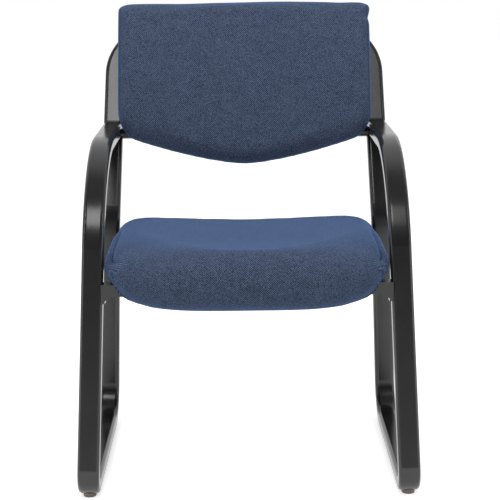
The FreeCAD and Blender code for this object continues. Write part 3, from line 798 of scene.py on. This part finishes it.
def back_grid(back, half, origin):
    """Upright profiles of the backrest across its width, each a crowned slab with round edges.
    The top edge has the waves of slack cloth, a dip on one side and a rise on the other."""
    x = ring_places(half, back.side_roll, BACK_RINGS)
    e = np.abs(x) / half
    roll = side_roll(x, half, back.side_roll)
    bow = back_bow(back, x)
    slope, fall = math.cos(back.recline), math.sin(back.recline)
    front_edge = back.thickness - back.rear_edge
    seam_z = origin[2] + back.rear_edge * fall
    low_v = (BACK_LOW.z + back.rear_edge - seam_z) / slope - back.rear_edge
    top_v = (BACK_HIGH.z - front_edge - seam_z) / slope + front_edge
    rear = bow + REAR_FACE_DRAW * roll
    front = bow + back.thickness - FRONT_FACE_DRAW * roll
    low = low_v + back.corner_rise * e ** back.curve_power + LOW_EDGE_DRAW * roll
    top = top_v - bow * math.tan(back.recline) - TOP_EDGE_DRAW * roll
    top = top + back.edge_wave * humps(x, EDGE_WAVES)
    rear_radius = (front - rear) * back.rear_edge / back.thickness
    front_radius = front - rear - rear_radius
    seam = rear + rear_radius
    high_front, low_front = top - front_radius, low + front_radius
    high_rear, low_rear = top - rear_radius, low + rear_radius
    face, front_bend, rear_bend = (BACK_POINTS[name] for name in ("face", "front_edge", "rear_edge"))
    return joined(x, [
        straight((low_front, front), (high_front, front), face, back.crown),
        bend_between((high_front, front), (top, seam), (high_front, seam), front_bend),
        bend_between((top, seam), (high_rear, rear), (high_rear, seam), rear_bend),
        straight((high_rear, rear), (low_rear, rear), face),
        bend_between((low_rear, rear), (low, seam), (low_rear, seam), rear_bend),
        bend_between((low, seam), (low_front, front), (low_front, seam), front_bend),
    ])


class CHAIR_OT_coat_metal(bpy.types.Operator):
    """Give the tubes, supports, straps, glides and fasteners their finishes."""
    bl_idname = "chair.coat_metal"
    bl_label = "Coat Metal"

    def execute(self, context):
        finishes = {
            powder_coat(): ("right_side_frame", "left_side_frame", "hoop_rail",
                            "lower_back_crossbar", "front_seat_support", "rear_seat_support",
                            "back_strap_right", "back_strap_left"),
            glide_nylon(): ("glide_front_right", "glide_front_left",
                            "glide_rear_right", "glide_rear_left"),
            zinc_steel(): ("seat_tee_nuts", "seat_bolts", "seat_washers", "back_tee_nuts",
                           "back_bolts", "back_washers", "back_spacers"),
            plywood(): ("seat_board", "backrest_insert"),
        }
        for material, names in finishes.items():
            for name in names:
                assign(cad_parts[name], material)
        return {"FINISHED"}


class CHAIR_OT_make_seat(bpy.types.Operator):
    """Sew, fill and seam the seat cushion."""
    bl_idname = "chair.make_seat"
    bl_label = "Make Seat Cushion"

    def execute(self, context):
        seat = context.scene.chair_seat
        origin, along, up = seat_axes(seat)
        half = (SEAT_HIGH.x - SEAT_LOW.x) / 2
        x, a, h = seat_grid(seat, half)
        piece = ring_piece("seat_cushion", to_world(origin, along, up, x, a, h))
        outward(piece)
        swell(piece, seat.swell)
        sew_seat_sides(piece, seat, half)
        flatten_seat_base(piece, seat)
        shade_smooth(piece)
        co = vertex_array(piece)
        a, h = (co - origin) @ along, (co - origin) @ up
        drop = np.maximum(seat.thickness - h, 0.0) * smooth_step(a, *WEAVE_TURN)
        lay_weave(piece, round_the_side(co[:, 0], drop, half), seat_profile_length(a, h) + drop)
        assign(piece, bpy.data.materials["crepe_fabric_blue"])
        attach(piece, "root")
        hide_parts("seat_cover", "seat_foam")
        return {"FINISHED"}


class CHAIR_OT_make_backrest(bpy.types.Operator):
    """Sew and fill the backrest cushion."""
    bl_idname = "chair.make_backrest"
    bl_label = "Make Backrest Cushion"

    def execute(self, context):
        back = context.scene.chair_back
        origin, up, towards = back_axes(back)
        half = (BACK_HIGH.x - BACK_LOW.x) / 2
        x, v, n = back_grid(back, half, origin)
        piece = ring_piece("backrest_cushion", to_world(origin, up, towards, x, v, n))
        outward(piece)
        swell(piece, back.swell)
        fold_back_corner(piece, back, origin, up)
        shade_smooth(piece)
        co = vertex_array(piece)
        height, depth = (co - origin) @ up, (co - origin) @ towards
        drop = np.maximum(back.thickness + back_bow(back, co[:, 0]) - depth, 0.0)
        middle = (height.max() + height.min()) / 2
        lay_weave(piece, round_the_side(co[:, 0], drop, half),
                  height + np.sign(height - middle) * drop)
        # Painted shade: marks a line along each side, where the fabric's colour is darkened as the
        # shade of a seam groove
        paint_seam_shade(piece, half - np.abs(co[:, 0]) - back.seam_inset)
        assign(piece, bpy.data.materials["crepe_fabric_blue"])
        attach(piece, "root")
        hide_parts("backrest_cover", "backrest_foam")
        return {"FINISHED"}


def dust_grid(seat, origin):
    """Grid of the cloth under the seat. Its rows run across, as wide as a rectangle with round
    corners is there. Between the supports it sags by a smooth step of the way from its edges."""
    cosine = math.cos(seat.tilt)
    front, rear = (DUST_LOW.y - origin[1]) / cosine, (DUST_HIGH.y - origin[1]) / cosine
    half = (DUST_HIGH.x - DUST_LOW.x) / 2
    ends = DUST_CORNER * (1.0 - np.cos(np.linspace(0.0, math.pi / 2, DUST_CORNER_ROWS)))
    middle = np.linspace(front + DUST_CORNER, rear - DUST_CORNER, DUST_ROWS)[1:-1]
    a = np.concatenate([front + ends, middle, (rear - ends)[::-1]])
    end = np.clip(np.minimum(a - front, rear - a), 0.0, DUST_CORNER)
    wide = half - DUST_CORNER + np.sqrt(DUST_CORNER ** 2 - (DUST_CORNER - end) ** 2)
    x = wide[:, None] * np.linspace(-1.0, 1.0, DUST_COLUMNS)[None, :]
    held = smooth_step(half - np.abs(x), 0.0, DUST_HEM)
    rear_held = 1.0 - smooth_step(a, rear - DUST_REAR[0], rear - DUST_REAR[1])
    room = smooth_step(a, front, front + DUST_HEM) * rear_held
    h = DUST_HEIGHT - DUST_SAG * held * room[:, None]
    return x, np.broadcast_to(a[:, None], x.shape), h


class CHAIR_OT_stretch_dust_cover(bpy.types.Operator):
    """Stretch the black cloth under the seat."""
    bl_idname = "chair.stretch_dust_cover"
    bl_label = "Stretch Dust Cover"

    def execute(self, context):
        seat = context.scene.chair_seat
        origin, along, up = seat_axes(seat)
        x, a, h = dust_grid(seat, origin)
        points = to_world(origin, along, up, x, a, h)
        rows, across = points.shape[:2]
        index = np.arange(rows * across).reshape(rows, across)
        quads = np.stack([index[:-1, :-1], index[1:, :-1], index[1:, 1:], index[:-1, 1:]], axis=-1)
        piece = new_piece("dust_cloth", points.reshape(-1, 3), quads.reshape(-1, 4).tolist())
        wall = piece.modifiers.new("cloth_thickness", "SOLIDIFY")
        wall.thickness = DUST_THICKNESS
        wall.offset = 0.0
        shade_smooth(piece)
        assign(piece, dust_cloth())
        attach(piece, "root")
        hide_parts("seat_dust_cover")
        return {"FINISHED"}


class CHAIR_OT_weave_fabric(bpy.types.Operator):
    """Make the woven upholstery of the cushions."""
    bl_idname = "chair.weave_fabric"
    bl_label = "Weave Fabric"

    def execute(self, context):
        upholstery(context.scene.chair_fabric)
        return {"FINISHED"}


class CHAIR_OT_light_studio(bpy.types.Operator):
    """Place the floor, the lights and the camera."""
    bl_idname = "chair.light_studio"
    bl_label = "Light Studio"

    def execute(self, context):
        stage = context.scene.chair_stage
        make_floor()
        make_world(stage)
        overhead = soft_box("overhead_light", *OVERHEAD_BOX, stage.top_light)
        overhead.visible_glossy = False
        soft_box("front_light", *FRONT_BOX, stage.front_light)
        for box in STRIP_BOXES:
            soft_box("strip_light", *box, stage.strip_light)
        make_camera(stage)
        context.scene.view_settings.view_transform = "Standard"
        return {"FINISHED"}


def make_floor():
    """White floor that keeps the chair's shadow and meets the backdrop unseen."""
    reach = FLOOR_REACH
    corners = np.array([(-reach, -reach, 0.0), (reach, -reach, 0.0), (reach, reach, 0.0),
                        (-reach, reach, 0.0)])
    floor = new_piece("studio_floor", corners, [(0, 1, 2, 3)])
    material = bpy.data.materials.new("floor_white")
    material.use_nodes = True
    nodes, links = material.node_tree.nodes, material.node_tree.links
    nodes.clear()
    path = nodes.new("ShaderNodeLightPath")
    seen = maths(nodes, links, "MAXIMUM", path.outputs["Is Camera Ray"], path.outputs["Is Glossy Ray"])
    diffuse = nodes.new("ShaderNodeBsdfDiffuse")
    diffuse.inputs["Color"].default_value = FLOOR_COLOUR
    glow = nodes.new("ShaderNodeEmission")
    links.new(maths(nodes, links, "MULTIPLY", seen, FLOOR_GLOW), glow.inputs["Strength"])
    total = nodes.new("ShaderNodeAddShader")
    links.new(diffuse.outputs["BSDF"], total.inputs[0])
    links.new(glow.outputs["Emission"], total.inputs[1])
    output = nodes.new("ShaderNodeOutputMaterial")
    links.new(total.outputs["Shader"], output.inputs["Surface"])
    assign(floor, material)


def make_world(stage):
    """White room: white where the camera sees it, the room's brightness where the chair mirrors
    it, and an even light of its own strength on everything."""
    world = bpy.data.worlds.new("studio_world")
    bpy.context.scene.world = world
    world.use_nodes = True
    nodes, links = world.node_tree.nodes, world.node_tree.links
    nodes.clear()
    path = nodes.new("ShaderNodeLightPath")
    seen = maths(nodes, links, "MAXIMUM", path.outputs["Is Camera Ray"], path.outputs["Is Glossy Ray"])
    seen = maths(nodes, links, "MAXIMUM", seen, path.outputs["Is Transmission Ray"])
    white, light = nodes.new("ShaderNodeBackground"), nodes.new("ShaderNodeBackground")
    links.new(room_brightness(nodes, links, path, stage.dark_side), white.inputs["Strength"])
    white.inputs["Color"].default_value = WHITE
    light.inputs["Strength"].default_value = stage.sky_light
    light.inputs["Color"].default_value = WHITE
    mix = nodes.new("ShaderNodeMixShader")
    links.new(seen, mix.inputs["Fac"])
    links.new(light.outputs["Background"], mix.inputs[1])
    links.new(white.outputs["Background"], mix.inputs[2])
    output = nodes.new("ShaderNodeOutputWorld")
    links.new(mix.outputs["Shader"], output.inputs["Surface"])


def room_brightness(nodes, links, path, dark_side):
    """Strength of the white room: 1 where the camera sees it and behind the chair. Before the
    chair, where the coated tubes mirror it, it follows the height: pale near the floor, dark at
    the camera's height and grey above."""
    direction = nodes.new("ShaderNodeSeparateXYZ")
    links.new(nodes.new("ShaderNodeTexCoord").outputs["Generated"], direction.inputs["Vector"])
    behind = nodes.new("ShaderNodeMapRange")
    behind.interpolation_type = "SMOOTHSTEP"
    behind.inputs["From Min"].default_value, behind.inputs["From Max"].default_value = ROOM_TURN
    links.new(direction.outputs["Y"], behind.inputs["Value"])
    front = ramp(nodes, links, direction.outputs["Z"],
                 [(height, (share * dark_side,) * 3) for height, share in FRONT_OF_ROOM])
    room = nodes.new("ShaderNodeMixRGB")
    links.new(behind.outputs["Result"], room.inputs["Fac"])
    links.new(front.outputs["Color"], room.inputs["Color1"])
    room.inputs["Color2"].default_value = WHITE
    return maths(nodes, links, "MAXIMUM", room.outputs["Color"], path.outputs["Is Camera Ray"])


def soft_box(name, place, target, size, power):
    """Rectangular area light of a width and height, aimed at a target."""
    lamp = bpy.data.lights.new(name, "AREA")
    lamp.shape = "RECTANGLE"
    lamp.size, lamp.size_y = size
    lamp.energy = power
    holder = bpy.data.objects.new(name, lamp)
    holder.location = place
    aim = Vector(target) - Vector(place)
    holder.rotation_euler = aim.to_track_quat("-Z", "Y").to_euler()
    bpy.context.scene.collection.objects.link(holder)
    return holder


def make_camera(stage):
    """Camera at the photograph's place, its axes from yaw, pitch and roll."""
    yaw, pitch, roll = (math.radians(angle) for angle in CAMERA_TURN)
    right = Vector((math.cos(yaw), math.sin(yaw), 0.0))
    level_view = Vector((-math.sin(yaw), math.cos(yaw), 0.0))
    forward = level_view * math.cos(pitch) + Vector((0.0, 0.0, -math.sin(pitch)))
    up = right.cross(forward)
    rolled_right = right * math.cos(roll) + up * math.sin(roll)
    rolled_up = up * math.cos(roll) - right * math.sin(roll)
    data = bpy.data.cameras.new("photo_camera")
    data.sensor_width = SENSOR_WIDTH
    data.sensor_fit = "HORIZONTAL"
    data.lens = stage.focal_px / stage.photo_px * data.sensor_width
    camera = bpy.data.objects.new("photo_camera", data)
    turn = Matrix((rolled_right, rolled_up, -forward)).transposed()
    camera.matrix_world = Matrix.Translation(CAMERA_PLACE) @ turn.to_4x4()
    bpy.context.scene.collection.objects.link(camera)
    bpy.context.scene.camera = camera


class CHAIR_PT_sidebar(bpy.types.Panel):
    """Lists the chair's operators and settings."""
    bl_label = "Visitor Chair"
    bl_idname = "CHAIR_PT_sidebar"
    bl_space_type = "VIEW_3D"
    bl_region_type = "UI"
    bl_category = "Chair"

    def draw(self, context):
        for operator in OPERATORS:
            self.layout.operator(operator.bl_idname)
        for group in SETTINGS:
            settings = getattr(context.scene, group)
            for name in SETTINGS[group].__annotations__:
                self.layout.prop(settings, name)


SETTINGS = {
    "chair_fabric": ChairFabricSettings,
    "chair_seat": ChairSeatSettings,
    "chair_back": ChairBackSettings,
    "chair_stage": ChairStageSettings,
}
OPERATORS = (CHAIR_OT_coat_metal, CHAIR_OT_weave_fabric, CHAIR_OT_make_seat,
             CHAIR_OT_stretch_dust_cover, CHAIR_OT_make_backrest, CHAIR_OT_light_studio)


def register():
    for group, settings in SETTINGS.items():
        bpy.utils.register_class(settings)
        setattr(bpy.types.Scene, group, PointerProperty(type=settings))
    for operator in OPERATORS:
        bpy.utils.register_class(operator)
    bpy.utils.register_class(CHAIR_PT_sidebar)


def unregister():
    bpy.utils.unregister_class(CHAIR_PT_sidebar)
    for operator in reversed(OPERATORS):
        bpy.utils.unregister_class(operator)
    for group, settings in SETTINGS.items():
        delattr(bpy.types.Scene, group)
        bpy.utils.unregister_class(settings)


def main():
    register()
    bpy.ops.chair.coat_metal()
    bpy.ops.chair.weave_fabric()
    bpy.ops.chair.make_seat()
    bpy.ops.chair.stretch_dust_cover()
    bpy.ops.chair.make_backrest()
    bpy.ops.chair.light_studio()


if __name__ == "__main__":
    main()
